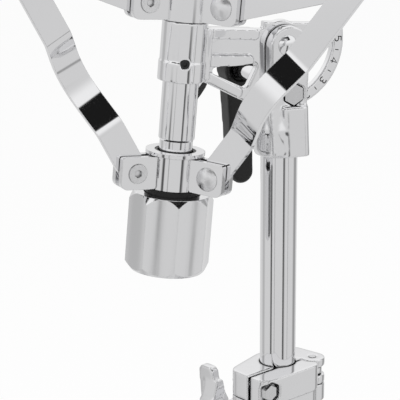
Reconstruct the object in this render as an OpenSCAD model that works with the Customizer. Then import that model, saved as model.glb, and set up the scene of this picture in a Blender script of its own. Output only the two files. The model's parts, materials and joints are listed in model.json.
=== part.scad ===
// Snare drum stand: folding tripod, telescopic column with a memory lock, an
// offset tilter with a numbered arc, and a three-arm basket closed by a knob.
// Millimetres. Floor at z = 0, column on the Z axis, basket towards -X,
// tilt pivot along Y.

/* [Tripod] */
// Length of a leg from its top pivot to its foot
leg_len = 233; // [225:1:245]
// Pivot to pivot length of a brace, and of the leg above the brace
link_len = 83; // [80:1:84]
// Angle of an open leg from the vertical
leg_angle = 57; // [54:1:59]
// Distance of the leg and brace pivots from the column axis
pivot_r = 28; // [27.5:0.5:30]
// Width of a leg strap
leg_w = 18; // [16:1:18]
// Width of a brace strap
brace_w = 16; // [14:1:17]
// Thickness of a leg strap
leg_t = 3; // [2.5:0.5:3.5]
// Thickness of a brace strap
brace_t = 2.5; // [2:0.5:3]
// Radius of the rubber feet
foot_r = 14; // [13.5:0.5:15]
// Radius of the tripod rivets
rivet_r = 3; // [2.5:0.5:3.5]

/* [Column] */
// Outside diameter of the base tube
base_tube_d = 28.6; // [28.4:0.1:29]
// Inside diameter of the base tube
base_tube_bore = 26.2; // [26:0.1:26.4]
// Length of the base tube
base_tube_len = 222; // [220:1:240]
// Outside diameter of the upper tube
upper_tube_d = 25.4; // [25:0.1:25.5]
// Wall of the upper tube
upper_tube_wall = 1.6; // [1.2:0.1:2.5]
// Length of the upper tube inside the base tube, pushed right down
tube_inside = 182; // [165:1:195]
// Height of the tilt pivot above the top of the memory lock
mast_reach = 230; // [200:5:250]
// Height of the clamp casting
clamp_h = 42; // [40:1:46]
// Height of the memory lock
lock_h = 19; // [18:1:22]
// Direction that the clamp and memory lock face, turned from -Y
lock_turn = 20; // [10:1:30]

/* [Tilter] */
// Outside radius of the numbered arc
dial_r = 46; // [45:0.5:47]
// Radius of the middle of the curved slot
slot_r = 34.1; // [33.5:0.1:34.5]
// Diameter of the bolt in the curved slot
lock_bolt_d = 8; // [7:0.5:8]
// Thickness of the tilter arm's plate
dial_t = 6.8; // [6:0.2:7.4]
// Tilt of the basket as built
tilt_rest = 5.3; // [0:0.1:6]
// Distance of the basket's axis from the tilt pivot
basket_offset = 69.3; // [68:0.1:75]
// Length of the rubber tilt lever below its hub
lever_len = 80; // [60:1:85]
// Distance of the lever's hub behind the tilt pivot's plane
lever_back = 78; // [70:1:85]

/* [Basket] */
// Outside diameter of the basket shaft
shaft_d = 24.2; // [24:0.1:24.4]
// Distance between the upper and lower hub pivots
hub_gap = 113.2; // [112:0.1:114]
// Height of each hub
hub_h = 23; // [22:0.5:24]
// Distance of the arm and strut pins from the shaft axis
pin_ring_r = 30.3; // [30:0.1:31]
// Width of a hub prong
prong_w = 14; // [13:0.5:14]
// Angle of the arms above the hub's plane
arm_rise = 56.5; // [56:0.1:57]
// Distance along an arm from its lower pin to the strut rivet
arm_to_rivet = 172; // [170:1:174]
// Distance along an arm from its lower pin to its elbow
arm_to_elbow = 211; // [205:1:220]
// Width of an arm strap
arm_w = 19.5; // [19:0.5:20]
// Thickness of an arm strap
arm_t = 4; // [3.6:0.2:4.4]
// Sideways slope of the ramp of an arm's bow, which lets it pass the upper hub
arm_ramp = 0.58; // [0.5:0.01:0.6]
// Width of a strut strap
strut_w = 20; // [18:0.5:20]
// Radius of the knob over its ridges
knob_r = 29; // [27:0.5:30]
// Height of the knob
knob_h = 53.8; // [52:0.2:56]
// Diameter of the threaded rod
rod_d = 10; // [8:0.5:10]

/* [Hidden] */
$fn = 48;

// Clearances
fit = 0.05;             // running fit, on the radius
gap = 0.3;              // between parts that move past each other
cut = 1;                // how far a cutting tool overshoots
hair = 0.04;            // keeps straight sides off exact tangency with the round ends

// Tripod
leg_az = [180, -60, 60];
leg_lug = 10;                                   // thickness of a lug on the leg collar
leg_in = leg_lug / 2 + gap;                     // inner face of a leg strap
leg_out = leg_in + leg_t;
brace_in = leg_out + gap;                       // inner face of a brace strap
brace_out = brace_in + brace_t;
brace_lug = 2 * (brace_in - gap);               // thickness of a lug on the lower collar
foot_pivot_h = foot_r - 1;                      // the foot is cut flat 1 mm up
lower_pivot_z = (leg_len - 2 * link_len) * cos(leg_angle) + foot_pivot_h;
leg_pivot_z = lower_pivot_z + 2 * link_len * cos(leg_angle);
collar_wall = 4;
collar_r = base_tube_d / 2 + collar_wall;
leg_collar_h = 26;
lower_collar_h = 24;
lug_r = 8;
rivet_head_r = 6;
rivet_head_h = 2;

// Column
base_tube_z = lower_pivot_z - 14;
base_tube_top = base_tube_z + base_tube_len;
clamp_over = 18;                                // clamp above the base tube's end
clamp_z = base_tube_top + clamp_over - clamp_h;
clamp_top = clamp_z + clamp_h;
lock_z = clamp_top + gap;
lock_top = lock_z + lock_h;
pivot_z = lock_top + mast_reach;
upper_r = upper_tube_d / 2;
tube_top_z = pivot_z - dial_r - 4;
tube_bottom_z = base_tube_top - tube_inside;
upper_tube_len = tube_top_z - tube_bottom_z;
glide_h = 14;
bushing_wall = 3.4;
clamp_r = base_tube_d / 2 + 5.2;
clamp_bolt_x = -29.5;                           // both clamping bolts stand left of the tubes
clamp_bolt_r = 3;
clamp_split_y = -9;
clamp_bolt_z = clamp_top - 21;
ear_back = 24;
hinge_x = 24;
hinge_y = -11;
hinge_r = 9;
hinge_pin_r = 2.5;
lock_front = 26;
lock_rear_r = 26;
lock_left = 37;
lock_bolt_z = lock_z + lock_h / 2;

// Tilter, measured from the tilt pivot
socket_r = 18;
socket_len = 77;                                // from the pivot down to the socket's mouth
cheek_front = 13.5;
cheek_back = 12;
cheek_r = 14.5;
slot_first = -83.5;                             // ends of the curved slot, level frame
slot_last = -0.5;
lock_bolt_angle = -82.1;                        // place of the lock bolt, world frame
lock_bolt_r = lock_bolt_d / 2;
lock_x = slot_r * cos(lock_bolt_angle);
lock_zr = slot_r * sin(lock_bolt_angle);
hex_af = 13;
hex_h = 5.3;
pivot_pin_r = 4;
sleeve_r = 15.3;
sleeve_low = -26.8;
sleeve_high = 13.2;
set_screw_az = 256;
set_screw_z = -14;
lever_hub_r = 12.5;
lever_hub_h = 20;
lever_nut_r = 6;

// Basket, measured along the shaft from the level of the tilt pivot
shaft_r = shaft_d / 2;
arm_az = [187, 307, 67];
upper_pin_z = 25.2;
lower_pin_z = upper_pin_z - hub_gap;
prong_r = pin_ring_r + 11.7;
hub_core_r = 18;
strap_slot = arm_t + 1.2;
slot_floor_r = 19;
pin_r = 3.5;
dome_r = 8;
dome_h = 2.5;
screw_head_r = 6.5;
hub_bushing_r = 14;
shaft_neck_r = shaft_r - 1;
shaft_neck_z = -65.7;
shaft_end_z = -92;
shaft_bore_r = 9.5;
shaft_top_z = upper_pin_z + hub_h / 2;
lower_hub_low = lower_pin_z - hub_h / 2;
washer_r = 18.75;
washer_bore_r = shaft_r + 0.5;
knob_recess = 4;
knob_top_z = lower_hub_low - 3.7;
knob_low_z = knob_top_z - knob_h;
rod_r = rod_d / 2;
rivet_dr = arm_to_rivet * cos(arm_rise);        // strut rivet from the upper pin, outwards
rivet_dz = arm_to_rivet * sin(arm_rise) - hub_gap;
strut_len = norm([rivet_dr, rivet_dz]);
strut_rise = atan2(rivet_dz, rivet_dr);
strut_t = arm_t;
bow_at = [33, 39, 55, 91, 103, 107];            // along an arm: bend, ramp, crest, ramp, bend
arm_side = -strut_t / 2 - arm_t / 2 - gap;      // middle of an arm's plane beyond the bow
elbow = [arm_to_elbow * cos(arm_rise), arm_to_elbow * sin(arm_rise)];
shelf_len = 34;
shelf = elbow + [shelf_len, 3];
finger_h = 24;
grip_w = 16;
arm_rivet_r = 3;

// A flat shape drawn in x and z, extruded from y0 to y1
module plate(y0, y1) {
    rotate([90, 0, 0]) translate([0, 0, -y1]) linear_extrude(y1 - y0) children();
}

// Two circles joined by their outer tangents
module link2d(p, r1, q, r2) {
    translate(p) circle(r1);
    translate(q) circle(r2);
    tangents2d(p, r1, q, r2);
}

module tangents2d(p, r1, q, r2) {
    a = atan2(q[1] - p[1], q[0] - p[0]);
    b = acos((r1 - r2) / norm(q - p));
    s1 = r1 - hair;
    s2 = r2 - hair;
    polygon([p + s1 * [cos(a + b), sin(a + b)], q + s2 * [cos(a + b), sin(a + b)],
        q + s2 * [cos(a - b), sin(a - b)], p + s1 * [cos(a - b), sin(a - b)]]);
}

// A flat bar between two eyes in x and z, from y0 to y1
module bar(y0, y1, p, r1, q, r2) {
    translate([p[0], 0, p[1]]) pin_y(y0, y1, r1);
    translate([q[0], 0, q[1]]) pin_y(y0, y1, r2);
    plate(y0, y1) tangents2d(p, r1, q, r2);
}

// Points that round off the corner of an outline at p, starting at angle a
function corner(p, r, a) =
    let (c = p - r * [1, a < 0 ? -1 : 1]) [for (k = [0:6]) c + r * [cos(a + 15 * k), sin(a + 15 * k)]];

// A cylinder along y from y0 to y1
module pin_y(y0, y1, r) {
    plate(y0, y1) circle(r);
}

// A low domed rivet head, its flat face at the origin, rising along +z
module dome(r, h) {
    ball = (r * r + h * h) / (2 * h);
    intersection() {
        translate([0, 0, h - ball]) sphere(ball, $fn = 64);
        cylinder(r = r, h = h);
    }
}

// A rivet along y with a domed head on each end
module rivet_y(y0, y1, r, head_r, head_h) {
    pin_y(y0, y1, r);
    translate([0, y1, 0]) rotate([-90, 0, 0]) dome(head_r, head_h);
    translate([0, y0, 0]) rotate([90, 0, 0]) dome(head_r, head_h);
}

// A hexagonal prism along y
module hex_y(y0, y1, across) {
    plate(y0, y1) rotate(30) circle(across / sqrt(3), $fn = 6);
}

// A ring segment in x and z between two angles, with round ends
module arc_slot2d(r, w, a0, a1) {
    steps = ceil((a1 - a0) / 4);
    polygon(concat(
        [for (i = [0:steps]) (r + w / 2) * [cos(a0 + (a1 - a0) * i / steps), sin(a0 + (a1 - a0) * i / steps)]],
        [for (i = [steps:-1:0]) (r - w / 2) * [cos(a0 + (a1 - a0) * i / steps), sin(a0 + (a1 - a0) * i / steps)]]));
    translate(r * [cos(a0), sin(a0)]) circle(w / 2);
    translate(r * [cos(a1), sin(a1)]) circle(w / 2);
}

// Tripod

module base_tube() {
    color("gainsboro") translate([0, 0, base_tube_z]) difference() {
        cylinder(d = base_tube_d, h = base_tube_len);
        translate([0, 0, -cut]) cylinder(d = base_tube_bore, h = base_tube_len + 2 * cut);
    }
}

module base_end_cap() {
    color("dimgray") translate([0, 0, base_tube_z]) {
        translate([0, 0, -5]) cylinder(r1 = base_tube_d / 2 - 1, r2 = base_tube_d / 2 + 0.5, h = 5);
        cylinder(d = base_tube_bore, h = 9);
    }
}

// Ring with three pivot lugs, its pivots at the origin's height
module lugged_collar(bore_r, h, lug_t) {
    difference() {
        union() {
            translate([0, 0, -h / 2]) cylinder(r = collar_r, h = h);
            for (az = leg_az) rotate(az) plate(-lug_t / 2, lug_t / 2)
                link2d([collar_r - 5, 0], lug_r + 1, [pivot_r, 0], lug_r);
        }
        translate([0, 0, -h / 2 - cut]) cylinder(r = bore_r, h = h + 2 * cut);
        for (az = leg_az) rotate(az) translate([pivot_r, 0, 0]) pin_y(-lug_t, lug_t, rivet_r);
    }
}

module lower_collar() {
    color("silver") translate([0, 0, lower_pivot_z])
        lugged_collar(base_tube_d / 2, lower_collar_h, brace_lug);
}

module leg_collar() {
    boss_r = 8;
    boss_end = collar_r + 9;
    color("silver") translate([0, 0, leg_pivot_z]) difference() {
        union() {
            lugged_collar(base_tube_d / 2 + fit, leg_collar_h, leg_lug);
            difference() {
                rotate([0, 90, 0]) cylinder(r = boss_r, h = boss_end);
                cylinder(r = base_tube_d / 2 + fit, h = 4 * boss_r, center = true);
            }
        }
        rotate([0, 90, 0]) cylinder(r = 4 + fit, h = boss_end + cut);
    }
}

module collar_rivet_set(z, out) {
    for (az = leg_az) rotate(az) translate([pivot_r, 0, z])
        rivet_y(-out, out, rivet_r, rivet_head_r, rivet_head_h);
}

module lower_collar_rivets() {
    color("silver") collar_rivet_set(lower_pivot_z, brace_out + gap);
}

module leg_collar_rivets() {
    color("silver") collar_rivet_set(leg_pivot_z, leg_out + gap);
}

// Cast wings on a hub along +z, with the clamping face at z = 0
module wings(hub_r, hub_h, span, blade_t, lean, deep) {
    cylinder(r1 = hub_r, r2 = hub_r - 1.5, h = hub_h);
    for (side = [0, 180]) rotate(side) {
        plate(-blade_t / 2, blade_t / 2) polygon([[0, hub_h * 0.15], [hub_r, hub_h * 0.15],
            [span - 5, lean + hair], [span - hair, lean + 5], [span - hair, lean + deep - 5],
            [span - 5, lean + deep - hair], [hub_r * 0.8, hub_h], [0, hub_h]]);
        for (z = [lean + 5, lean + deep - 5]) translate([span - 5, 0, z]) pin_y(-blade_t / 2, blade_t / 2, 5);
    }
}

module leg_collar_screw() {
    color("silver") translate([0, 0, leg_pivot_z]) rotate([0, 90, 0]) {
        translate([0, 0, base_tube_d / 2 + gap]) cylinder(r = 4, h = collar_wall + 9);
        translate([0, 0, collar_r + 9 + gap]) rotate(90) wings(8, 14, 24, 5, 8, 12);
    }
}

// Local frame of a leg: x runs down the leg from its top pivot
module along_leg(i) {
    rotate(leg_az[i]) translate([pivot_r, 0, leg_pivot_z]) rotate([0, 90 - leg_angle, 0]) children();
}

module leg_outline() {
    difference() {
        link2d([0, 0], leg_w / 2, [leg_len, 0], leg_w / 2);
        circle(rivet_r + fit);
        translate([link_len, 0]) circle(rivet_r);
        translate([leg_len, 0]) circle(rivet_r);
    }
}

module leg(i) {
    color("gainsboro") along_leg(i) {
        plate(leg_in, leg_out) leg_outline();
        plate(-leg_out, -leg_in) leg_outline();
    }
}

module brace(i) {
    color("gainsboro") rotate(leg_az[i]) translate([pivot_r, 0, lower_pivot_z])
        rotate([0, leg_angle - 90, 0]) for (side = [0, 1]) mirror([0, side, 0])
            plate(brace_in, brace_out) difference() {
                link2d([0, 0], brace_w / 2, [link_len, 0], brace_w / 2);
                circle(rivet_r + fit);
                translate([link_len, 0]) circle(rivet_r + fit);
            }
}

module leg_rivets(i) {
    color("silver") along_leg(i) {
        translate([link_len, 0, 0]) {
            rivet_y(-brace_out - gap, brace_out + gap, rivet_r, rivet_head_r, rivet_head_h);
            pin_y(-leg_in, leg_in, rivet_r + 2);
        }
        translate([leg_len, 0, 0]) rivet_y(-leg_out - 4, leg_out + 4, rivet_r, rivet_head_r, rivet_head_h);
    }
}

module foot(i) {
    shoe_w = 2 * leg_out + 8;
    color("dimgray") difference() {
        along_leg(i) bar(-shoe_w / 2, shoe_w / 2, [leg_len - 26, 0], leg_w / 2 + 2.5, [leg_len, 0], foot_r);
        translate([-500, -500, -100]) cube([1000, 1000, 100]);
        along_leg(i) {
            bar(leg_in, leg_out, [0, 0], leg_w / 2, [leg_len, 0], leg_w / 2);
            bar(-leg_out, -leg_in, [0, 0], leg_w / 2, [leg_len, 0], leg_w / 2);
            translate([leg_len, 0, 0]) pin_y(-shoe_w, shoe_w, rivet_r);
        }
    }
}

// Height clamp and memory lock share this outline, seen from above
module clamp_outline(front) {
    link2d([0, 0], front - 6, [hinge_x, hinge_y], hinge_r);
    link2d([0, 0], front - 6, [clamp_bolt_x + 2, 4], 9);
    link2d([clamp_bolt_x + 2, -front + 9], 9, [hinge_x - 13, -front + 9], 9);
    polygon([[clamp_bolt_x - 7, -front + 9], [clamp_bolt_x - 7, 4], [hinge_x, 0], [hinge_x - 5, -front + 9]]);
}

module height_clamp() {
    low_h = clamp_h - 13;
    color("silver") rotate(lock_turn) difference() {
        union() {
            translate([0, 0, clamp_z]) cylinder(r = clamp_r, h = clamp_h);
            translate([0, 0, clamp_top - 13]) linear_extrude(13) clamp_outline(24);
            translate([0, 0, clamp_bolt_z]) plate(-20, ear_back)
                link2d([clamp_bolt_x, 0], 9, [-clamp_r + 8, 0], 12);
        }
        translate([0, 0, clamp_z - cut]) cylinder(d = base_tube_d, h = clamp_h - clamp_over + cut);
        translate([0, 0, base_tube_top - cut]) cylinder(r = upper_r + bushing_wall, h = clamp_over + 2 * cut);
        translate([-60, clamp_split_y - 1.25, clamp_z - cut]) cube([60, 2.5, clamp_h + 2 * cut]);
        translate([clamp_bolt_x, 0, clamp_bolt_z]) {
            pin_y(-40, 40, clamp_bolt_r);
            hex_y(-40, -24 + 6, 10.4);
        }
    }
}

module clamp_bushing() {
    color("dimgray") translate([0, 0, base_tube_top]) difference() {
        cylinder(r = upper_r + bushing_wall, h = clamp_over);
        translate([0, 0, -cut]) cylinder(r = upper_r + fit, h = clamp_over + 2 * cut);
    }
}

module clamp_bolt() {
    color("silver") rotate(lock_turn) translate([clamp_bolt_x, 0, clamp_bolt_z]) {
        hex_y(-24, -18, 10);
        pin_y(-18, ear_back + 20, clamp_bolt_r);
    }
}

module clamp_wing_nut() {
    color("silver") rotate(lock_turn) translate([clamp_bolt_x, ear_back + gap, clamp_bolt_z])
        rotate([-90, 0, 0]) rotate(90) difference() {
            wings(8.5, 22, 32.5, 6.4, 9, 15);
            translate([0, 0, -cut]) cylinder(r = clamp_bolt_r + fit, h = 30);
        }
}

module upper_tube() {
    color("gainsboro") translate([0, 0, tube_bottom_z]) difference() {
        cylinder(r = upper_r, h = upper_tube_len);
        translate([0, 0, -cut]) cylinder(r = upper_r - upper_tube_wall, h = upper_tube_len + 2 * cut);
    }
}

module tube_glide() {
    color("dimgray") translate([0, 0, tube_bottom_z]) difference() {
        union() {
            translate([0, 0, -3]) cylinder(d = base_tube_bore - 2 * fit, h = 3);
            cylinder(r = upper_r - upper_tube_wall, h = glide_h);
        }
        translate([0, 0, -3 - cut]) cylinder(r = upper_r - upper_tube_wall - 2, h = glide_h + 3 + 2 * cut);
    }
}

module memory_lock_body() {
    finger = lock_h / 3;
    color("silver") rotate(lock_turn) difference() {
        union() {
            translate([0, 0, lock_z]) linear_extrude(lock_h) difference() {
                clamp_outline(lock_front);
                translate([-80, -80]) square([80 + hinge_x - hinge_r - 1, 80 + clamp_split_y + 1.25]);
                translate([hinge_x, hinge_y]) circle(hinge_r + gap);
                translate([0, -80]) square([80, 80 + clamp_split_y + 1.25]);
            }
            for (z = [lock_z, lock_top - finger]) translate([0, 0, z])
                linear_extrude(finger) link2d([hinge_x, hinge_y], hinge_r, [hinge_x - 2, 6], 8);
        }
        translate([0, 0, lock_z - cut]) cylinder(r = upper_r + fit, h = lock_h + 2 * cut);
        translate([hinge_x, hinge_y, lock_z - cut]) cylinder(r = hinge_pin_r, h = lock_h + 2 * cut);
        translate([hinge_x, hinge_y, lock_z + finger]) cylinder(r = hinge_r + gap, h = finger);
        // the hole is long, so that the gate can swing with its bolt
        translate([clamp_bolt_x, 0, lock_bolt_z])
            bar(-40, 40, [0.2, 0], clamp_bolt_r + fit, [-2, 0], clamp_bolt_r + fit);
    }
}

module memory_lock_gate() {
    finger = lock_h / 3;
    color("silver") rotate(lock_turn) difference() {
        union() {
            translate([0, 0, lock_z]) linear_extrude(lock_h) difference() {
                intersection() {
                    clamp_outline(lock_front);
                    translate([-80, -80]) square([80 + hinge_x - 4, 80 + clamp_split_y - 1.25]);
                }
                translate([hinge_x, hinge_y]) circle(hinge_r + gap);
            }
            translate([0, 0, lock_z + finger + gap]) linear_extrude(finger - 2 * gap)
                link2d([hinge_x, hinge_y], hinge_r - 2, [hinge_x - 12, hinge_y - 4], 4);
        }
        translate([0, 0, lock_z - cut]) cylinder(r = upper_r + gap, h = lock_h + 2 * cut);
        translate([hinge_x, hinge_y, lock_z - cut]) cylinder(r = hinge_pin_r + fit, h = lock_h + 2 * cut);
        translate([clamp_bolt_x, 0, lock_bolt_z]) {
            pin_y(-40, 0, clamp_bolt_r);
            hex_y(-40, -lock_front + 6, hex_af + 1.4);
        }
    }
}

module memory_lock_pin() {
    color("silver") rotate(lock_turn) translate([hinge_x, hinge_y, lock_z])
        cylinder(r = hinge_pin_r, h = lock_h);
}

module memory_lock_bolt() {
    color("silver") rotate(lock_turn) translate([clamp_bolt_x, 0, lock_bolt_z]) {
        hex_y(-lock_front + 1.5, -lock_front + 6, 10);
        pin_y(-lock_front + 6, 12, clamp_bolt_r);
    }
}

// Tilter

module at_pivot() {
    translate([0, 0, pivot_z]) children();
}

// Level frame of the tilter arm, turned to its place
module tilted() {
    at_pivot() rotate([0, tilt_rest, 0]) children();
}

module tilter_base() {
    lean = 9;
    color("silver") at_pivot() difference() {
        union() {
            translate([0, 0, -socket_len]) cylinder(r1 = socket_r - 1.5, r2 = socket_r, h = 4);
            translate([0, 0, 4 - socket_len]) cylinder(r = socket_r, h = 15);
            translate([0, 0, 19 - socket_len]) cylinder(r1 = socket_r, r2 = 12.5, h = 20);
            plate(-cheek_front, cheek_back) link2d([2, -2], cheek_r, [1, -56], 13);
            // the boss and rib lean back until they run out in the front cheek
            translate([7.2, -14.6, -socket_len + 1.5]) rotate([-lean, 0, 0]) {
                for (x = [-4.8, 4.8]) translate([x, 0, 0]) cylinder(r = 4, h = 37);
                translate([-4.8, -4 + hair, 0]) cube([9.6, 18, 37]);
                translate([-8.8 + hair, 0, 0]) cube([17.6 - 2 * hair, 14, 37]);
            }
            translate([-12.4, -18.8, -socket_len + 2.5]) rotate([-lean, 0, 0]) cube([10.9, 12, 34]);
        }
        translate([0, 0, -socket_len - cut]) cylinder(r = upper_r, h = tube_top_z - pivot_z + socket_len + cut);
        plate(-dial_t / 2 - gap, dial_t / 2 + gap) circle(dial_r + 1.3);
        translate([-25, cheek_back, -46]) cube([50, 20, 40]);
        pin_y(-40, 40, pivot_pin_r);
        translate([lock_x, 0, lock_zr]) {
            pin_y(-40, 40, lock_bolt_r);
            hex_y(-40, -cheek_front - 0.4 + hex_h, hex_af + 1);
        }
    }
}

module tilter_pivot_pin() {
    color("silver") at_pivot() {
        pin_y(-cheek_front, cheek_back, pivot_pin_r);
        translate([0, -cheek_front, 0]) rotate([90, 0, 0]) dome(7, 2.5);
        translate([0, cheek_back, 0]) rotate([-90, 0, 0]) dome(7, 2.5);
    }
}

// Outline of the tilter arm in the level frame, pivot at the origin
module tilter_arm_outline() {
    intersection() {
        circle(dial_r);
        polygon([[-14, -60], [60, -60], [60, dial_r * sin(19)], [0, 14], [-14, 14]]);
    }
    circle(15.5);
    polygon([[-basket_offset + 8, 9], [0, 9], [0, -dial_r + 4], [-14, -dial_r + 2],
        [-30, -38], [-basket_offset + 8, -22]]);
}

module tilter_window() {
    offset_r = 3;
    link2d([-46, -20], offset_r - 0.5, [-20, -17], offset_r);
    link2d([-20, -17], offset_r, [-24.5, -28], offset_r);
    link2d([-46, -20], offset_r - 0.5, [-24.5, -28], offset_r);
    polygon([[-46, -20], [-20, -17], [-24.5, -28]]);
}

module tilter_arm() {
    half = dial_t / 2;
    color("silver") tilted() difference() {
        union() {
            plate(-half, half) difference() {
                tilter_arm_outline();
                arc_slot2d(slot_r, 2 * lock_bolt_r + 0.2, slot_first, slot_last);
                tilter_window();
            }
            plate(-7, 7) {
                link2d([-basket_offset + 10, 5.5], 3.4, [-21.5, 5.5], 3.4);
                difference() {
                    link2d([-basket_offset + 10, -13], 4, [-24, -12], 3.4);
                    tilter_window();
                }
            }
            plate(-6, 6) link2d([-basket_offset + 10, -21], 4, [-30, -34], 3.6);
            translate([-basket_offset + 8, -9, -25]) cube([9, 18, 34]);
            translate([-basket_offset, 0, sleeve_low]) cylinder(r = sleeve_r, h = sleeve_high - sleeve_low);
            translate([-basket_offset, 0, sleeve_low]) cylinder(r = sleeve_r + 0.6, h = 13);
        }
        translate([-basket_offset, 0, sleeve_low - cut])
            cylinder(r = shaft_r + fit, h = sleeve_high - sleeve_low + 2 * cut);
        pin_y(-20, 20, pivot_pin_r + fit);
        translate([-basket_offset, 0, set_screw_z]) rotate([0, 90, set_screw_az]) cylinder(r = 3, h = 30);
    }
}

module tilt_lock_bolt() {
    head_y = -cheek_front - 0.4;
    color("silver") at_pivot() translate([lock_x, 0, lock_zr]) {
        hex_y(head_y, head_y + hex_h, hex_af);
        pin_y(head_y + hex_h, lever_back + 6, lock_bolt_r);
    }
}

module tilt_lock_washer() {
    color("silver") at_pivot() translate([lock_x, 0, lock_zr]) difference() {
        pin_y(cheek_back, cheek_back + 2, 9);
        pin_y(0, cheek_back + 4, lock_bolt_r);
    }
}

module tilt_lever_nut() {
    start = cheek_back + 2 + gap;
    color("silver") at_pivot() translate([lock_x, 0, lock_zr]) difference() {
        union() {
            pin_y(start, start + 5, lever_nut_r + 2.5);
            pin_y(start, lever_back + 8, lever_nut_r);
        }
        pin_y(0, lever_back + 20, lock_bolt_r + fit);
    }
}

module tilt_lever() {
    color("dimgray") at_pivot() translate([lock_x, lever_back, lock_zr]) difference() {
        union() {
            pin_y(0, lever_hub_h, lever_hub_r);
            translate([0, 1, 0]) hull() {
                pin_y(0, lever_hub_h - 2, lever_hub_r - 1, $fn = 32);
                translate([0, 0, -36]) pin_y(1, lever_hub_h - 3, 9, $fn = 32);
            }
            hull() {
                translate([0, 1, -36]) pin_y(1, lever_hub_h - 3, 9, $fn = 32);
                translate([2, 2, -lever_len + 3]) pin_y(0, lever_hub_h - 4, 8, $fn = 32);
                translate([2, 5, -lever_len + 1.5]) pin_y(0, lever_hub_h - 10, 8.5, $fn = 32);
            }
        }
        pin_y(-cut, 4, lever_hub_r - 3.5);
        pin_y(0, 8, lever_nut_r);
        pin_y(0, 9, lock_bolt_r);
    }
}

// Basket

// Frame on the basket's axis, at the level of the tilt pivot
module basket() {
    tilted() translate([-basket_offset, 0, 0]) children();
}

module sleeve_set_screw() {
    color("dimgray") basket() translate([0, 0, set_screw_z]) rotate([0, 90, set_screw_az])
        translate([0, 0, shaft_r + 2 * fit]) difference() {
            cylinder(r = 3, h = sleeve_r - shaft_r - 0.3);
            translate([0, 0, 1.4]) cylinder(r = 1.6, h = 5, $fn = 6);
        }
}

module basket_shaft() {
    color("gainsboro") basket() difference() {
        union() {
            translate([0, 0, shaft_neck_z]) cylinder(r = shaft_r, h = shaft_top_z - shaft_neck_z);
            translate([0, 0, shaft_neck_z - 1.5]) cylinder(r1 = shaft_neck_r, r2 = shaft_r, h = 1.5);
            translate([0, 0, shaft_end_z]) cylinder(r = shaft_neck_r, h = shaft_neck_z - 1.5 - shaft_end_z);
        }
        translate([0, 0, shaft_end_z - cut]) cylinder(r = shaft_bore_r, h = shaft_top_z - shaft_end_z + 2 * cut);
    }
}

module shaft_cap() {
    color("dimgray") basket() translate([0, 0, shaft_top_z]) {
        translate([0, 0, -10]) cylinder(r = shaft_bore_r, h = 10);
        cylinder(r1 = shaft_r, r2 = shaft_r - 2, h = 2.5);
    }
}

module rod_plug() {
    color("silver") basket() translate([0, 0, shaft_end_z]) difference() {
        cylinder(r = shaft_bore_r, h = 24);
        translate([0, 0, -cut]) cylinder(r = rod_r, h = 24 + 2 * cut);
    }
}

module basket_rod() {
    color("silver") basket() translate([0, 0, knob_low_z + 6])
        cylinder(r = rod_r, h = shaft_end_z + 30 - knob_low_z - 6);
}

// Three-pronged hub about the origin, with one pin hole through each prong
module hub(bore_r) {
    half = hub_h / 2;
    difference() {
        union() {
            translate([0, 0, -half]) cylinder(r = hub_core_r, h = hub_h);
            // the prongs stop short of the core's end faces
            for (az = arm_az) rotate(az) plate(-prong_w / 2, prong_w / 2)
                polygon(concat([[hub_core_r - 2, half - 0.5], [hub_core_r - 2, 0.5 - half]],
                    corner([prong_r, 0.5 - half], 5, -90), corner([prong_r, half - 0.5], 2, 0)));
        }
        for (az = arm_az) rotate(az) {
            plate(-strap_slot / 2, strap_slot / 2)
                translate([slot_floor_r, -half - cut]) square([40, hub_h + 2 * cut]);
            translate([pin_ring_r, 0, 0]) {
                pin_y(-20, 20, pin_r);
                pin_y(prong_w / 2 - 1.5, 20, screw_head_r);
            }
        }
        translate([0, 0, -half - cut]) cylinder(r = bore_r, h = hub_h + 2 * cut);
    }
}

// Each pin has a domed head on one side of its prong and a socket head on the other
module hub_pins() {
    for (az = arm_az) rotate(az) translate([pin_ring_r, 0, 0]) {
        pin_y(-prong_w / 2, prong_w / 2 - 1.5, pin_r);
        translate([0, -prong_w / 2, 0]) rotate([90, 0, 0]) dome(dome_r, dome_h);
        difference() {
            pin_y(prong_w / 2 - 1.5, prong_w / 2 + 1, screw_head_r);
            hex_y(prong_w / 2 - 1, prong_w / 2 + 2, 5);
        }
    }
}

module upper_hub() {
    color("silver") basket() translate([0, 0, upper_pin_z]) hub(shaft_r);
}

module upper_hub_pins() {
    color("silver") basket() translate([0, 0, upper_pin_z]) hub_pins();
}

module lower_hub() {
    color("silver") basket() translate([0, 0, lower_pin_z]) {
        hub(hub_bushing_r);
        translate([0, 0, hub_h / 2]) difference() {
            cylinder(r = 20, h = 2.5);
            translate([0, 0, -cut]) cylinder(r = hub_bushing_r, h = 2.5 + 2 * cut);
        }
    }
}

module lower_hub_bushing() {
    color("dimgray") basket() translate([0, 0, lower_hub_low]) difference() {
        cylinder(r = hub_bushing_r, h = hub_h + 2);
        translate([0, 0, -cut]) cylinder(r = shaft_r + fit, h = hub_h + 2 + 2 * cut);
    }
}

module lower_hub_pins() {
    color("silver") basket() translate([0, 0, lower_pin_z]) hub_pins();
}

module strut(i) {
    color("gainsboro") basket() rotate(arm_az[i]) translate([pin_ring_r, 0, upper_pin_z])
        rotate([0, -strut_rise, 0]) difference() {
            bar(-strut_t / 2, strut_t / 2, [0, 0], strut_w / 2, [strut_len, 0], strut_w / 2);
            pin_y(-strut_t, strut_t, pin_r + fit);
            // the linkage is opened here: the slot frees the rivet through the fold
            bar(-strut_t, strut_t, [strut_len - 6.1, 0.62], arm_rivet_r + 0.9,
                [strut_len + 0.1, 0.62], arm_rivet_r + 0.9);
        }
}

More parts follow.
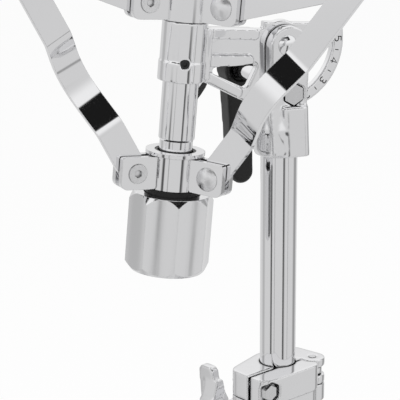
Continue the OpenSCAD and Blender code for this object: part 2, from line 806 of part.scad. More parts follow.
// Sideways place of an arm's middle: in the hub's slot, bowed out past the upper hub, then beside its
// strut. Its slope changes evenly between these values at the places of bow_at.
function share(k) = (bow_at[k + 1] - bow_at[k]) / 2;
ramp_back = (arm_side + arm_ramp * (share(0) + 2 * share(1) + share(2))) / (share(2) + 2 * share(3) + share(4));
bow_slope = [0, -arm_ramp, -arm_ramp, ramp_back, ramp_back, 0];
function bow_to(k) = k == 0 ? 0 : bow_to(k - 1) + (bow_slope[k - 1] + bow_slope[k]) * share(k - 1);
function stretch(u, k) = k > 0 && u < bow_at[k] ? stretch(u, k - 1) : k;
function bow(u) = u <= bow_at[0] ? 0 : u >= bow_at[5] ? arm_side
    : let (k = stretch(u, 4), t = u - bow_at[k], bend = (bow_slope[k + 1] - bow_slope[k]) / (2 * share(k)))
        bow_to(k) + bow_slope[k] * t + bend * t * t / 2;

// Points of the strap's face on one side, square to its middle line
function strap_face(side) = let (us = concat([bow_at[0], bow_at[0] + share(0), bow_at[1]],
        [for (k = [0:6]) bow_at[2] + share(2) * k / 3], [bow_at[4], bow_at[4] + share(4), bow_at[5]]))
    [for (u = us) let (slope = bow(u + 0.5) - bow(u - 0.5), run = norm([1, slope]))
        [u - side * slope / run, bow(u) + side / run]];

module arm_plan() {
    near = strap_face(arm_t / 2);
    far = strap_face(-arm_t / 2);
    polygon(concat([[-20, arm_t / 2]], near, [[bow_at[5] + 6, arm_side + arm_t / 2],
        [bow_at[5] + 6, arm_side - arm_t / 2]], [for (k = [len(far) - 1:-1:0]) far[k]], [[-20, -arm_t / 2]]));
}

// Outline of an arm in the radial plane, lower pin at the origin
module arm_outline(y0, y1) {
    bar(y0, y1, [0, 0], arm_w / 2, elbow, 9);
    bar(y0, y1, elbow, 9, shelf, 6);
    bar(y0, y1, shelf, 6, shelf + [4, finger_h], 4);
}

module arm_solid() {
    split = bow_at[5] + 3;
    intersection() {
        rotate([0, -arm_rise, 0]) {
            intersection() {
                translate([0, 0, -30]) linear_extrude(60) arm_plan();
                translate([-40, -30, -30]) cube([split + 40, 60, 60]);
            }
            translate([split, arm_side - arm_t / 2, -120]) cube([250, arm_t, 180]);
        }
        arm_outline(-30, 30);
    }
}

module at_lower_pin(i) {
    basket() rotate(arm_az[i]) translate([pin_ring_r, 0, lower_pin_z]) children();
}

module arm(i) {
    color("gainsboro") at_lower_pin(i) difference() {
        arm_solid();
        pin_y(-20, 20, pin_r + fit);
        rotate([0, -arm_rise, 0]) translate([arm_to_rivet, 0, 0]) pin_y(-20, 20, arm_rivet_r);
    }
}

module arm_rivet(i) {
    color("silver") at_lower_pin(i) rotate([0, -arm_rise, 0]) translate([arm_to_rivet, 0, 0])
        rivet_y(arm_side - arm_t / 2, strut_t / 2 + gap, arm_rivet_r, 8, 2.5);
}

module grip(i) {
    color("dimgray") at_lower_pin(i) difference() {
        translate([0, arm_side, 0]) {
            bar(-grip_w / 2, grip_w / 2, elbow + [15, 3], 9, shelf + [1, 2], 9);
            bar(-grip_w / 2, grip_w / 2, shelf + [1, 0], 9, shelf + [5, finger_h + 2], 6);
        }
        arm_solid();
    }
}

module knob_washer() {
    color("dimgray") basket() translate([0, 0, knob_top_z - knob_recess + 0.2]) difference() {
        cylinder(r = washer_r, h = lower_hub_low - knob_top_z + knob_recess - 0.2 - 0.2);
        translate([0, 0, -cut]) cylinder(r = washer_bore_r, h = 20);
    }
}

module adjuster_knob() {
    flute_r = 77;
    flats = 8;
    edge = 5;
    floor_z = knob_h - knob_recess - 24;
    color("silver") basket() translate([0, 0, knob_low_z]) difference() {
        intersection() {
            linear_extrude(knob_h) difference() {
                circle(knob_r, $fn = 96);
                for (k = [0:flats - 1]) rotate(k * 360 / flats + 12)
                    translate([knob_r - 3 + flute_r, 0]) circle(flute_r, $fn = 180);
            }
            rotate_extrude() polygon([[0, 0], [knob_r - 4, 0], [knob_r, edge], [knob_r, knob_h - edge],
                [knob_r - 3, knob_h], [0, knob_h]]);
        }
        translate([0, 0, knob_h - knob_recess]) cylinder(r = washer_r + 0.6, h = knob_recess + cut);
        translate([0, 0, floor_z]) cylinder(r = shaft_r + 1, h = knob_h);
        translate([0, 0, -cut]) cylinder(r = rod_r + fit, h = knob_h + 2 * cut);
        // cast hollow from below, round the threaded boss and the shaft's end
        difference() {
            translate([0, 0, -cut]) cylinder(r = knob_r - 6, h = knob_h - knob_recess - 5 + cut);
            translate([0, 0, floor_z - 3]) cylinder(r = shaft_r + 4, h = knob_h);
            translate([0, 0, 3]) cylinder(r = rod_r + 4, h = floor_z);
        }
    }
}

base_tube();
base_end_cap();
lower_collar();
lower_collar_rivets();
leg_collar();
leg_collar_rivets();
leg_collar_screw();
leg(0);  // leg_1
leg(1);  // leg_2
leg(2);  // leg_3
brace(0);  // brace_1
brace(1);  // brace_2
brace(2);  // brace_3
leg_rivets(0);  // leg_rivets_1
leg_rivets(1);  // leg_rivets_2
leg_rivets(2);  // leg_rivets_3
foot(0);  // foot_1
foot(1);  // foot_2
foot(2);  // foot_3
height_clamp();
clamp_bushing();
clamp_bolt();
clamp_wing_nut();
upper_tube();
tube_glide();
memory_lock_body();
memory_lock_gate();
memory_lock_pin();
memory_lock_bolt();
tilter_base();
tilter_arm();
tilter_pivot_pin();
tilt_lock_bolt();
tilt_lock_washer();
tilt_lever_nut();
tilt_lever();
sleeve_set_screw();
basket_shaft();
shaft_cap();
rod_plug();
basket_rod();
upper_hub();
upper_hub_pins();
strut(0);  // strut_1
strut(1);  // strut_2
strut(2);  // strut_3
arm(0);  // arm_1
arm(1);  // arm_2
arm(2);  // arm_3
arm_rivet(0);  // arm_rivet_1
arm_rivet(1);  // arm_rivet_2
arm_rivet(2);  // arm_rivet_3
grip(0);  // grip_1
grip(1);  // grip_2
grip(2);  // grip_3
lower_hub();
lower_hub_bushing();
lower_hub_pins();
knob_washer();
adjuster_knob();
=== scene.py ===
"""Looks for the snare drum stand.

Chromed tubes, castings and straps with black rubber and plastic, in a plain white studio.
Lengths are in metres. Those in mm say so, and are multiplied by MM where they are used.
"""

import json
import math

import bmesh
import bpy
from mathutils import Matrix, Vector

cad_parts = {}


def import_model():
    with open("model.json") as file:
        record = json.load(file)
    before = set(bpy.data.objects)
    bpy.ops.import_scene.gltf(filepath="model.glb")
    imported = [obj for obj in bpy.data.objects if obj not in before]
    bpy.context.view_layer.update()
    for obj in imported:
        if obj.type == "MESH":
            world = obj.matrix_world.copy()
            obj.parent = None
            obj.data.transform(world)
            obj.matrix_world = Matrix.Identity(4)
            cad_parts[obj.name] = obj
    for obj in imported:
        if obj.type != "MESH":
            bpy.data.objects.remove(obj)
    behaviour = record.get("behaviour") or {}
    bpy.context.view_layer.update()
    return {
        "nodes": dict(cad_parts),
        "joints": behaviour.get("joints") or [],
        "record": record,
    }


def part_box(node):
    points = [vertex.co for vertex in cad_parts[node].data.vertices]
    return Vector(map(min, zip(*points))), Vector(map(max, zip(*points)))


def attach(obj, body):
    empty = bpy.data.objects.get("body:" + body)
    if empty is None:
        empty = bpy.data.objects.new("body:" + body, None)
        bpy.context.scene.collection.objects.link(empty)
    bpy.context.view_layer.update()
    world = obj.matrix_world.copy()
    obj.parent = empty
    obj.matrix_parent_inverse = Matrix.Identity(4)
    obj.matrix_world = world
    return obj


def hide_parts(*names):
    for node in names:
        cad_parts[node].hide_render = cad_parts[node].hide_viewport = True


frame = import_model()
nodes = frame["nodes"]
scene = bpy.context.scene

MM = 0.001
RIGHT, BACK, UP = Vector((1, 0, 0)), Vector((0, 1, 0)), Vector((0, 0, 1))
SLOTS = {part["node"]: part["material_slot"] for part in frame["record"]["subparts"]}
BODIES = {node: body for body, members in frame["record"]["behaviour"]["bodies"].items() for node in members}


# Places taken from the frame


def joint(name):
    return next(j for j in frame["joints"] if j["name"] == name)


def pivot(name):
    return Vector(joint(name)["pos_m"])


def axis(name):
    return Vector(joint(name)["axis"]).normalized()


def middle(node):
    low, high = (Vector(corner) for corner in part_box(node))
    return (low + high) / 2


PIVOT = pivot("tilt")
LOCK_BOLT = pivot("tilt_lever_turn")
SHAFT_UP = axis("basket_fold")
KNOB = pivot("knob_turn")
WING_NUT = pivot("clamp_wing_nut_turn")
WING_AXIS = axis("clamp_wing_nut_turn")
SOCKET_FOOT = min(v.co.z for v in nodes["tilter_base"].data.vertices)


# Objects and meshes


def new_object(name, data):
    obj = bpy.data.objects.new(name, data)
    scene.collection.objects.link(obj)
    return obj


def cut(bm, place, normal):
    bmesh.ops.bisect_plane(bm, geom=bm.verts[:] + bm.edges[:] + bm.faces[:], plane_co=place, plane_no=normal)


def shaded_mesh(name, bm, material):
    """A smooth mesh of one material from bm, which is freed."""
    mesh = bpy.data.meshes.new(name)
    bm.to_mesh(mesh)
    bm.free()
    mesh.materials.clear()
    mesh.materials.append(material)
    mesh.polygons.foreach_set("use_smooth", [True] * len(mesh.polygons))
    return mesh


# Camera, placed as the photograph was taken

PIXELS = 400
SENSOR_WIDTH = 36  # mm
CAMERA_DISTANCE = 1.100
FOCAL_PIXELS = 1585
CAMERA_AZIMUTH = 21.0
CAMERA_DOWN = 16.0
CAMERA_ROLL = -0.4
AIM_BELOW_PIVOT = 0.1109
AIM_LEFT = 0.0546
CLIP = (0.05, 50)


def look(azimuth, down, roll):
    """Forward, right and up of a camera; azimuth 0 looks along +Y."""
    az, pitch, turn = (math.radians(a) for a in (azimuth, down, roll))
    forward = Vector((math.sin(az) * math.cos(pitch), math.cos(az) * math.cos(pitch), -math.sin(pitch)))
    right = Vector((math.cos(az), -math.sin(az), 0))
    up = right.cross(forward)
    return forward, right * math.cos(turn) + up * math.sin(turn), up * math.cos(turn) - right * math.sin(turn)


def camera():
    forward, right, up = look(CAMERA_AZIMUTH, CAMERA_DOWN, CAMERA_ROLL)
    data = bpy.data.cameras.new("camera")
    data.sensor_width = SENSOR_WIDTH
    data.lens = FOCAL_PIXELS * SENSOR_WIDTH / PIXELS
    data.clip_start, data.clip_end = CLIP
    obj = new_object("camera", data)
    place = PIVOT - UP * AIM_BELOW_PIVOT - forward * CAMERA_DISTANCE - right * AIM_LEFT
    obj.matrix_world = Matrix.Translation(place) @ Matrix((right, up, -forward)).transposed().to_4x4()
    scene.camera = obj


# Materials

SHADER_SAMPLES = 6
MIX_SOCKETS = {"FLOAT": (2, 3, 0), "RGBA": (6, 7, 2)}  # a Mix node's two inputs and its output


class Nodes:
    """The node tree of a material or world, with short calls."""

    def __init__(self, owner, output="ShaderNodeOutputMaterial"):
        owner.use_nodes = True
        self.owner = owner
        self.tree = owner.node_tree
        self.tree.nodes.clear()
        self.output = self.add(output)

    def add(self, kind, **settings):
        node = self.tree.nodes.new(kind)
        for key, value in settings.items():
            setattr(node, key, value)
        return node

    def feed(self, value, socket):
        """Gives an input another node's output, a colour or a number."""
        if isinstance(value, bpy.types.NodeSocket):
            self.tree.links.new(value, socket)
        else:
            socket.default_value = (*value, 1) if isinstance(value, tuple) else value

    def place(self):
        return self.add("ShaderNodeTexCoord").outputs["Object"]

    def noise(self, scale, detail):
        node = self.add("ShaderNodeTexNoise")
        for key, value in (("Scale", scale), ("Detail", detail), ("Vector", self.place())):
            self.feed(value, node.inputs[key])
        return node.outputs["Fac"]

    def math(self, operation, a, b=0.0, clamp=False):
        node = self.add("ShaderNodeMath", operation=operation, use_clamp=clamp)
        self.feed(a, node.inputs[0])
        self.feed(b, node.inputs[1])
        return node.outputs[0]

    def mix(self, share, low, high, kind="RGBA"):
        node = self.add("ShaderNodeMix", data_type=kind)
        first, second, result = MIX_SOCKETS[kind]
        for value, k in ((share, 0), (low, first), (high, second)):
            self.feed(value, node.inputs[k])
        return node.outputs[result]

    def spread(self, value, low, high, start=0.35, end=0.65, curve="LINEAR"):
        """From low at start to high at end."""
        node = self.add("ShaderNodeMapRange", interpolation_type=curve)
        ends = (("Value", value), ("From Min", start), ("From Max", end), ("To Min", low), ("To Max", high))
        for key, number in ends:
            self.feed(number, node.inputs[key])
        return node.outputs["Result"]

    def band(self, value, a, b, c, d):
        """Rises smoothly from a to b, holds at 1, and falls from c to d."""
        rise = self.spread(value, 0.0, 1.0, a, b, "SMOOTHSTEP")
        return self.math("MULTIPLY", rise, self.spread(value, 1.0, 0.0, c, d, "SMOOTHSTEP"))

    def painted_gap_shade(self, reach):
        """Painted shade: 0 deep in gaps and corners, 1 on open surfaces; it darkens a base colour."""
        node = self.add("ShaderNodeAmbientOcclusion", samples=SHADER_SAMPLES)
        self.feed(reach, node.inputs["Distance"])
        return self.spread(node.outputs["AO"], 0.0, 1.0, start=0.25, end=0.7)

    def edges(self, radius):
        """The surface's direction with its edges rounded, and where those edges are."""
        bevel = self.add("ShaderNodeBevel", samples=SHADER_SAMPLES)
        self.feed(radius, bevel.inputs["Radius"])
        dot = self.add("ShaderNodeVectorMath", operation="DOT_PRODUCT")
        self.feed(bevel.outputs[0], dot.inputs[0])
        self.feed(self.add("ShaderNodeNewGeometry").outputs["Normal"], dot.inputs[1])
        return bevel.outputs[0], self.spread(dot.outputs["Value"], 1.0, 0.0, start=0.8, end=0.995)

    def bump(self, value, strength, distance, under):
        node = self.add("ShaderNodeBump")
        for key, number in (("Strength", strength), ("Distance", distance), ("Height", value), ("Normal", under)):
            self.feed(number, node.inputs[key])
        return node.outputs["Normal"]

    def direct_rays(self):
        """1 for what the camera, reflections and glass see, 0 for the light on a surface."""
        path = self.add("ShaderNodeLightPath").outputs
        seen = self.math("MAXIMUM", path["Is Camera Ray"], path["Is Glossy Ray"])
        return self.math("MAXIMUM", seen, path["Is Transmission Ray"])

    def glow(self, colour):
        node = self.add("ShaderNodeEmission")
        self.feed(colour, node.inputs["Color"])
        return node.outputs[0]

    def principled(self, **values):
        node = self.add("ShaderNodeBsdfPrincipled")
        for key, value in values.items():
            self.feed(value, node.inputs[key.replace("_", " ")])
        return self.finish(node.outputs["BSDF"])

    def finish(self, surface):
        self.feed(surface, self.output.inputs["Surface"])
        return self.owner


def new_material(name):
    return Nodes(bpy.data.materials.new(name))


WHITE = (1, 1, 1)
CHROME_HUE = (1, 1, 1.012)
SMEARS, SCRATCHES, CLOUDS = 9, 260, 25  # scales of noise
SMEAR_TINTS, SMEAR_ROUGHNESS = (0.93, 1.0), (0.7, 1.3)  # shares of the metal's grey and roughness
# painted shade: the grey that gaps and corners are darkened to
PAINTED_SHADE_GREY = 0.05
WORN_DULLNESS = 0.25
RIPPLE_HEIGHT = 0.001
CLOUD_TINTS = (0.8, 1.25)  # shares of the black's grey
CLOUD_ROUGHNESS = 0.06     # more or less than the black's roughness
BLACK_SPECULAR = 0.32
MOULDED_EDGE = 0.0008
GRAIN_STRENGTH = 0.35


def chrome(name, grey, rough, ripple, ripple_scale, soft_edge, gap_shade_reach=0.0022):
    """Plated metal: nearly clean reflections, a faint ripple, smears, painted shade in gaps and corners, and
    softened, duller edges.
    """
    n = new_material(name)
    smear = n.noise(SMEARS, 4)
    edge, worn = n.edges(soft_edge)
    grain = n.math("MULTIPLY", worn, n.noise(SCRATCHES, 4))
    tone = n.math("SUBTRACT", smear, grain, clamp=True)
    low, high = (tuple(grey * share * hue for hue in CHROME_HUE) for share in SMEAR_TINTS)
    uneven = n.spread(smear, *(rough * share for share in SMEAR_ROUGHNESS))
    dull = n.math("ADD", uneven, n.math("MULTIPLY", grain, WORN_DULLNESS))
    return n.principled(
        # painted shade darkens the base colour in gaps and corners
        Base_Color=n.mix(n.painted_gap_shade(gap_shade_reach), (PAINTED_SHADE_GREY,) * 3, n.mix(tone, low, high)),
        Metallic=1.0,
        Roughness=dull,
        Normal=n.bump(n.noise(ripple_scale, 2), ripple, RIPPLE_HEIGHT, edge),
    )


def black(name, grey, rough, grain, depth):
    """Rubber or plastic with a fine moulded grain."""
    n = new_material(name)
    cloud = n.noise(CLOUDS, 5)
    return n.principled(
        Base_Color=n.mix(cloud, *((grey * share,) * 3 for share in CLOUD_TINTS)),
        Roughness=n.spread(cloud, rough - CLOUD_ROUGHNESS, rough + CLOUD_ROUGHNESS),
        Specular_IOR_Level=BLACK_SPECULAR,
        Normal=n.bump(n.noise(grain, 3), GRAIN_STRENGTH, depth, n.edges(MOULDED_EDGE)[0]),
    )


MATERIALS = {
    "chrome": chrome("chrome", grey=0.86, rough=0.045, ripple=0.02, ripple_scale=14, soft_edge=0.0005),
    "plated_alloy": chrome("plated_alloy", grey=0.86, rough=0.05, ripple=0.03, ripple_scale=30, soft_edge=0.0012),
    "cast_chrome": chrome("cast_chrome", grey=0.84, rough=0.055, ripple=0.09, ripple_scale=45,
                          soft_edge=0.0015, gap_shade_reach=0.0035),
    "plated_steel": chrome("plated_steel", grey=0.74, rough=0.30, ripple=0.08, ripple_scale=160, soft_edge=0.0004),
    "black_steel": chrome("black_steel", grey=0.05, rough=0.35, ripple=0.1, ripple_scale=300, soft_edge=0.0003),
    "black_rubber": black("black_rubber", grey=0.010, rough=0.42, grain=900, depth=0.0002),
    "black_plastic": black("black_plastic", grey=0.007, rough=0.32, grain=1400, depth=0.0001),
}
RIVET = chrome("rivet_chrome", grey=0.84, rough=0.34, ripple=0.3, ripple_scale=220, soft_edge=0.0006)
KNOB_CHROME = chrome("knob_chrome", grey=0.86, rough=0.13, ripple=0.02, ripple_scale=30, soft_edge=0.0006)


def dress_cad():
    for name, obj in nodes.items():
        for slot in obj.material_slots:
            slot.material = RIVET if name.endswith("_hub_pins") else MATERIALS[SLOTS[name]]


# Castings and moulded rubber: the solid melted into one skin, with rounded corners

CASTINGS = {  # mm between the points of the skin, and rounds of smoothing
    "tilter_base": (0.7, 10),
    "tilter_arm": (0.7, 3),
    "memory_lock_body": (0.7, 16),
    "memory_lock_gate": (0.7, 16),
    "clamp_wing_nut": (0.7, 9),
    "leg_collar_screw": (0.7, 8),
    "height_clamp": (0.8, 6),
    "leg_collar": (0.8, 4),
    "lower_collar": (0.8, 4),
    "tilt_lever": (1.0, 8),
    **{f"{part}_{k}": (1.0, 6) for part in ("foot", "grip") for k in (1, 2, 3)},
}


CORNER_STEPS = 6


def boss_outline(half, depth, radius):
    """A box seen from above with round front corners, from its front at y = 0 back to y = depth."""
    corner = []
    for k in range(CORNER_STEPS + 1):
        turn = math.tau / 4 * k / CORNER_STEPS
        corner.append((radius * math.cos(turn), radius * math.sin(turn)))
    left = [(-half + radius - x, radius - y) for x, y in corner]
    right = [(half - radius + x, radius - y) for x, y in corner[::-1]]
    return left + right + [(half, depth), (-half, depth)]


FLARE_EDGE = [(8, 8.6), (12, 6.2), (17, 4.5), (24, 3.1)]  # a quarter of the wings' roots, seen along the bolt
WING_FLARE = ([(x, -y) for x, y in FLARE_EDGE] + FLARE_EDGE[::-1]
              + [(-x, y) for x, y in FLARE_EDGE] + [(-x, -y) for x, y in FLARE_EDGE[::-1]])
BOSS_OUTLINE = boss_outline(half=10.3, depth=13, radius=4.5)
BOSS_LEAN = Vector((0, 0.085, 1))
BOSS_BELOW_BOLT = 8.3
BOSS_TOP = (LOCK_BOLT.z - SOCKET_FOOT) / MM - BOSS_BELOW_BOLT

# What is cast on: its outline in mm, where that starts, the outline's two directions, the direction
# it is drawn out in, and from where to where, in mm
CAST_ON = {
    "tilter_base": (BOSS_OUTLINE, Vector((0.0053, -0.0196, SOCKET_FOOT)), RIGHT, BACK, BOSS_LEAN, (1.2, BOSS_TOP)),
    "clamp_wing_nut": (WING_FLARE, WING_NUT, UP, WING_AXIS.cross(UP), WING_AXIS, (8.5, 22)),
}


def add_prism(bm, outline, origin, right, up, ahead, reach):
    low, high = ([bm.verts.new(origin + (right * x + up * y + ahead * h) * MM) for x, y in outline] for h in reach)
    for k in range(len(outline)):
        m = (k + 1) % len(outline)
        bm.faces.new((low[k], low[m], high[m], high[k]))
    bm.faces.new(high)
    bm.faces.new(low[::-1])


def castings():
    for name, (spacing, rounds) in CASTINGS.items():
        bm = bmesh.new()
        bm.from_mesh(nodes[name].data)
        if name in CAST_ON:
            add_prism(bm, *CAST_ON[name])
        mesh = shaded_mesh(f"{name}_casting", bm, MATERIALS[SLOTS[name]])
        mesh.polygons.foreach_set("material_index", [0] * len(mesh.polygons))
        obj = new_object(f"{name}_casting", mesh)
        remesh = obj.modifiers.new("melt", "REMESH")
        remesh.mode = "VOXEL"
        remesh.voxel_size = spacing * MM
        remesh.use_smooth_shade = True
        obj.modifiers.new("smooth", "SMOOTH").iterations = rounds
        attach(obj, BODIES[name])
        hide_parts(name)


# Arms: the straps with their bends as smooth curves

# mm along the arm from its pin, and the strap's slope there
ARM_PLAN = ((33, 0), (39, -0.45), (43, -0.54), (45, -0.58), (49, -0.58), (51.5, -0.54), (55, -0.46),
            (91, 0.42), (94, 0.49), (96, 0.536), (99, 0.536), (101, 0.49), (104, 0.38), (108, 0))
STRAP_STEP = 1.5  # mm between the rows of points in the bends
STRAP_FAR = 0.12  # past the bends
BROAD = 0.75      # a broad face looks this much to the strap's side


def slope_at(along):
    u = along / MM
    for (u0, s0), (u1, s1) in zip(ARM_PLAN, ARM_PLAN[1:]):
        if u0 <= u <= u1:
            return s0 + (s1 - s0) * (u - u0) / (u1 - u0)
    return 0.0


def arms():
    for k in (1, 2, 3):
        cad = nodes[f"arm_{k}"].data
        pin = pivot(f"arm_{k}_fold")
        side = axis(f"arm_{k}_fold")
        along = middle(f"arm_rivet_{k}") - pin
        along = (along - side * along.dot(side)).normalized()
        far = [v.co - pin for v in cad.vertices if (v.co - pin).dot(along) > STRAP_FAR]
        if sum(v.dot(side) for v in far) > 0:
            side = -side
        bm = bmesh.new()
        bm.from_mesh(cad)
        start, end = ARM_PLAN[0][0], ARM_PLAN[-1][0]
        for step in range(round((end - start) / STRAP_STEP) + 1):
            cut(bm, pin + along * (start + STRAP_STEP * step) * MM, along)
        mesh = shaded_mesh(f"arm_{k}_strap", bm, MATERIALS["chrome"])
        normals = []
        for face in mesh.polygons:
            turned = face.normal.dot(side)
            for v in face.vertices:
                slope = slope_at((mesh.vertices[v].co - pin).dot(along))
                curved = (side - along * slope).normalized()
                normals.append(curved * math.copysign(1, turned) if abs(turned) > BROAD else face.normal)
        mesh.normals_split_custom_set(normals)
        obj = new_object(f"arm_{k}_strap", mesh)
        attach(obj, f"arm_{k}")
        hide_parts(f"arm_{k}")


# Knob: its hollow sides are shaded as smooth curves, a little flatter than the solid's, and its cones round

KNOB_EVEN = 0.04  # the share of a plain cylinder's curve in the sides
KNOB_CUTS = 36
UPRIGHT = 0.05    # a side's normal leaves the level by less than this
SIDE_OUT, CONE_OUT = 0.8, 0.3  # a side or a cone looks outwards by more than this


def knob():
    bm = bmesh.new()
    bm.from_mesh(nodes["adjuster_knob"].data)
    side = SHAFT_UP.orthogonal().normalized()
    for k in range(KNOB_CUTS):
        cut(bm, KNOB, Matrix.Rotation(math.pi * k / KNOB_CUTS, 3, SHAFT_UP) @ side)
    mesh = shaded_mesh("knob_sides", bm, KNOB_CHROME)
    normals = []
    for face in mesh.polygons:
        rise = face.normal.dot(SHAFT_UP)
        for v in face.vertices:
            out = mesh.vertices[v].co - KNOB
            out = (out - SHAFT_UP * out.dot(SHAFT_UP)).normalized()
            outwards = face.normal.dot(out)
            if abs(rise) < UPRIGHT and outwards > SIDE_OUT:
                normals.append((face.normal * (1 - KNOB_EVEN) + out * KNOB_EVEN).normalized())
            elif outwards > CONE_OUT:
                normals.append((out * math.sqrt(1 - rise * rise) + SHAFT_UP * rise).normalized())
            else:
                normals.append(face.normal)
    mesh.normals_split_custom_set(normals)
    obj = new_object("knob_sides", mesh)
    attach(obj, "adjuster_knob")
    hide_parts("adjuster_knob")


# Threaded rod: two starts, 4 mm a turn, as the knob's coupling has it; lengths in mm

THREAD_LEAD = 4.0
THREAD_STARTS = 2
THREAD_DEPTH = 0.8
THREAD_STEP = 0.4
THREAD_RUN_OUT = 2
AROUND = 28


def rod():
    places = [v.co - KNOB for v in nodes["basket_rod"].data.vertices]
    heights = [p.dot(SHAFT_UP) / MM for p in places]
    radius = max((p - SHAFT_UP * h * MM).length / MM for p, h in zip(places, heights))
    low, high = min(heights), max(heights)
    side = SHAFT_UP.orthogonal().normalized()
    back = SHAFT_UP.cross(side)
    rings = round((high - low) / THREAD_STEP)
    verts, faces = [], []
    for k in range(rings + 1):
        h = low + (high - low) * k / rings
        run_out = min(1.0, (h - low) / THREAD_RUN_OUT, (high - h) / THREAD_RUN_OUT)
        for a in range(AROUND):
            turn = math.tau * a / AROUND
            wave = 0.5 - 0.5 * math.cos((math.tau * h / THREAD_LEAD - turn) * THREAD_STARTS)
            reach = radius - THREAD_DEPTH * max(wave, 1.0 - run_out)
            verts.append(KNOB + (SHAFT_UP * h + (side * math.cos(turn) + back * math.sin(turn)) * reach) * MM)
        if k:
            start = (k - 1) * AROUND
            for a in range(AROUND):
                b = (a + 1) % AROUND
                faces.append((start + a, start + b, start + AROUND + b, start + AROUND + a))
    faces.append(tuple(range(AROUND))[::-1])
    faces.append(tuple(range(rings * AROUND, (rings + 1) * AROUND)))
    mesh = bpy.data.meshes.new("threaded_rod")
    mesh.from_pydata(verts, [], faces)
    mesh.polygons.foreach_set("use_smooth", [True] * (len(faces) - 2) + [False] * 2)
    mesh.materials.append(MATERIALS["plated_steel"])
    obj = new_object("threaded_rod", mesh)
    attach(obj, "basket")
    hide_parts("basket_rod")


# Dial: numbers 5 to 1 and the lines between them, on the front of the arc; lengths in mm

DIGITS = {  # strokes in a box 1 wide and 1 high
    "1": ((0.25, 0.78), (0.6, 1), (0.6, 0)),
    "2": ((0.08, 0.8), (0.25, 0.97), (0.55, 1), (0.85, 0.9), (0.9, 0.7), (0.7, 0.45), (0.05, 0), (0.95, 0)),
    "3": ((0.1, 0.9), (0.4, 1), (0.75, 0.95), (0.88, 0.77), (0.75, 0.58), (0.45, 0.52), (0.8, 0.46),
          (0.95, 0.25), (0.8, 0.06), (0.45, 0), (0.1, 0.1)),
    "4": ((0.7, 0), (0.7, 1), (0, 0.3), (1, 0.3)),
    "5": ((0.9, 1), (0.15, 1), (0.1, 0.55), (0.5, 0.62), (0.85, 0.5), (0.95, 0.3), (0.8, 0.08), (0.5, 0),
          (0.2, 0.03), (0.05, 0.15)),
}
DIGIT_SIZE = (3.7, 4.8)
DIGIT_STROKE = 0.75
TICK_STROKE = 0.6
TICK_HALF = 1.3
DIAL_RADIUS = 41.8
DIAL_FACE = -3.4
DIAL_STEP = 21.0  # degrees
TURNED_BACK = 0.2  # below this, a stroke's two directions cancel each other at a corner
LONGEST_MITRE = 1.5
# Over a stroke's half width, and how far that stands proud of the face
GROOVE_SECTION = ((-1, 0.0), (-0.6, 0.05), (0.6, 0.05), (1, 0.0))


def groove(verts, faces, points, width):
    """A stroke along a line on the dial's face; points are (x, z) from the pivot."""
    count = len(GROOVE_SECTION)
    places = [Vector(p) for p in points]
    for k, p in enumerate(places):
        before = (p - places[k - 1]).normalized() if k else (places[1] - p).normalized()
        after = (places[k + 1] - p).normalized() if k + 1 < len(places) else before
        run = before + after if (before + after).length > TURNED_BACK else before
        across = Vector((-run.y, run.x)).normalized()
        mitre = 1 / max(1 / LONGEST_MITRE, across.dot(Vector((-before.y, before.x))))
        for shift, lift in GROOVE_SECTION:
            q = p + across * width / 2 * shift * mitre
            verts.append((PIVOT.x + q.x * MM, PIVOT.y + (DIAL_FACE - lift) * MM, PIVOT.z + q.y * MM))
        if k:
            a = len(verts) - 2 * count
            faces.extend((a + i, a + i + 1, a + i + count + 1, a + i + count) for i in range(count - 1))


def dial():
    def directions(steps):
        turn = math.radians(-DIAL_STEP * steps)
        up = Vector((math.cos(turn), math.sin(turn)))
        return up, Vector((up.y, -up.x))

    verts, faces = [], []
    for k, digit in enumerate("54321"):
        up, right = directions(k)
        line = [up * (DIAL_RADIUS + (v - 0.5) * DIGIT_SIZE[1]) + right * (u - 0.5) * DIGIT_SIZE[0]
                for u, v in DIGITS[digit]]
        groove(verts, faces, line, DIGIT_STROKE)
        if digit != "1":
            up, right = directions(k + 0.5)
            groove(verts, faces, [up * (DIAL_RADIUS - TICK_HALF), up * (DIAL_RADIUS + TICK_HALF)], TICK_STROKE)
    mesh = bpy.data.meshes.new("dial_numbers")
    mesh.from_pydata(verts, [], faces)
    mesh.materials.append(MATERIALS["black_steel"])
    obj = new_object("dial_numbers", mesh)
    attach(obj, "tilter_arm")


# Studio

FLOOR_SIZE = 60
FLOOR_PAINT = (0.9, 0.9, 0.9)
FLOOR_WHITE = 0.92  # the share of plain white in what is seen of the floor
WORLD_GREY = (0.62, 0.62, 0.62)


def floor():
    n = new_material("floor")
    paint = n.add("ShaderNodeBsdfDiffuse")
    n.feed(FLOOR_PAINT, paint.inputs["Color"])
    mix = n.add("ShaderNodeMixShader")
    for k, value in enumerate((n.math("MULTIPLY", n.direct_rays(), FLOOR_WHITE), paint.outputs[0], n.glow(WHITE))):
        n.feed(value, mix.inputs[k])
    half = FLOOR_SIZE / 2
    mesh = bpy.data.meshes.new("floor")
    mesh.from_pydata([(-half, -half, 0), (half, -half, 0), (half, half, 0), (-half, half, 0)], [], [(0, 1, 2, 3)])
    mesh.materials.append(n.finish(mix.outputs[0]))
    new_object("floor", mesh)


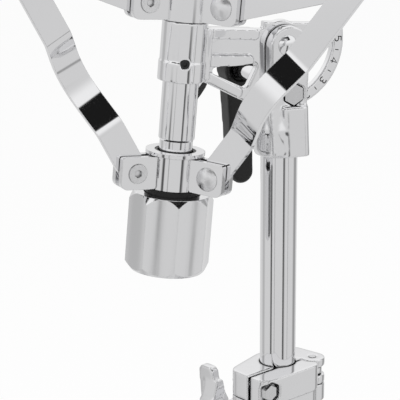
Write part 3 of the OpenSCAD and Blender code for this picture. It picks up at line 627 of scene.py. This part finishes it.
# The light tent, which only reflections show: (azimuth band, elevation band, brightness), in degrees.
# Azimuth 0 is -Y, the set's front, and grows towards +X; elevation is from TENT_EYE above the floor's
# middle. A later band lies over the earlier ones.
TENT_BASE = 0.72
ALL_ROUND = (-400, -399, 399, 400)
TENT = [
    (ALL_ROUND, (4, 22, 90, 91), 0.98),                             # the walls lighten towards the lamps
    ((-82, -77, 31, 39), (29, 31, 50, 60), 0.012),                  # the open front, high up
    ((-77, -70, -66, -61), (-60, -50, -6, 3), 0.10),                # edges of the side screens
    ((2, 5, 9, 20), (-60, -50, -6, 3), 0.11),
    ((-49.5, -47.5, -46.5, -44.5), (-60, -50, -5, 3), 0.36),        # narrow posts in front
    ((35.5, 37.5, 38.5, 40.5), (-60, -50, -5, 3), 0.36),
    ((75, 91, 105, 119), (-60, -50, 40, 60), 0.36),                 # grey screens at the sides and back
    ((-149, -133, -125, -113), (-60, -50, 40, 60), 0.52),
]
TENT_EYE = 0.42
TENT_OUTLINE = ((0.0, 0.0006), (1.0, 0.0006), (1.0, 1.2), (0.7, 1.6), (0.0, 1.75))  # radius and height
TENT_SIDES = 96


def tent():
    n = new_material("tent")
    place = n.add("ShaderNodeSeparateXYZ")
    n.feed(n.place(), place.inputs[0])
    x, y, z = place.outputs
    degrees = math.degrees(1)
    azimuth = n.math("MULTIPLY", n.math("ARCTAN2", x, n.math("MULTIPLY", y, -1.0)), degrees)
    reach = n.math("SQRT", n.math("ADD", n.math("MULTIPLY", x, x), n.math("MULTIPLY", y, y)))
    elevation = n.math("MULTIPLY", n.math("ARCTAN2", n.math("SUBTRACT", z, TENT_EYE), reach), degrees)
    light = TENT_BASE
    for sideways, upright, level in TENT:
        share = n.math("MULTIPLY", n.band(azimuth, *sideways), n.band(elevation, *upright))
        light = n.mix(share, light, level, "FLOAT")
    verts, faces = [], []
    for ring, (radius, height) in enumerate(TENT_OUTLINE):
        for k in range(TENT_SIDES):
            turn = math.tau * k / TENT_SIDES
            verts.append((radius * math.cos(turn), radius * math.sin(turn), height))
            if ring:
                a, b = (ring * TENT_SIDES + m % TENT_SIDES for m in (k, k + 1))
                faces.append((a - TENT_SIDES, b - TENT_SIDES, b, a))
    mesh = bpy.data.meshes.new("tent")
    mesh.from_pydata(verts, [], faces)
    mesh.materials.append(n.finish(n.glow(light)))
    obj = new_object("tent", mesh)
    obj.visible_camera = False
    obj.visible_diffuse = False
    obj.visible_shadow = False


def lamp(name, place, size, watts):
    """A soft lamp that looks at the pivot and isn't mirrored."""
    data = bpy.data.lights.new(name, "AREA")
    data.shape = "RECTANGLE"
    data.size, data.size_y = size
    data.energy = watts
    obj = new_object(name, data)
    turn = (Vector(place) - PIVOT).to_track_quat("Z", "Y")
    obj.matrix_world = Matrix.Translation(place) @ turn.to_matrix().to_4x4()
    obj.visible_glossy = False


def world():
    scene.world = bpy.data.worlds.new("studio")
    n = Nodes(scene.world, "ShaderNodeOutputWorld")
    background = n.add("ShaderNodeBackground")
    n.feed(n.mix(n.direct_rays(), WORLD_GREY, WHITE), background.inputs["Color"])
    n.finish(background.outputs[0])


camera()
dress_cad()
castings()
arms()
knob()
rod()
dial()
floor()
tent()
world()
lamp("key", place=(-1.6, -1.4, 1.8), size=(1.2, 1.2), watts=30)
lamp("fill", place=(1.8, -0.6, 1.5), size=(1.0, 1.4), watts=18)
scene.view_settings.view_transform = "Standard"
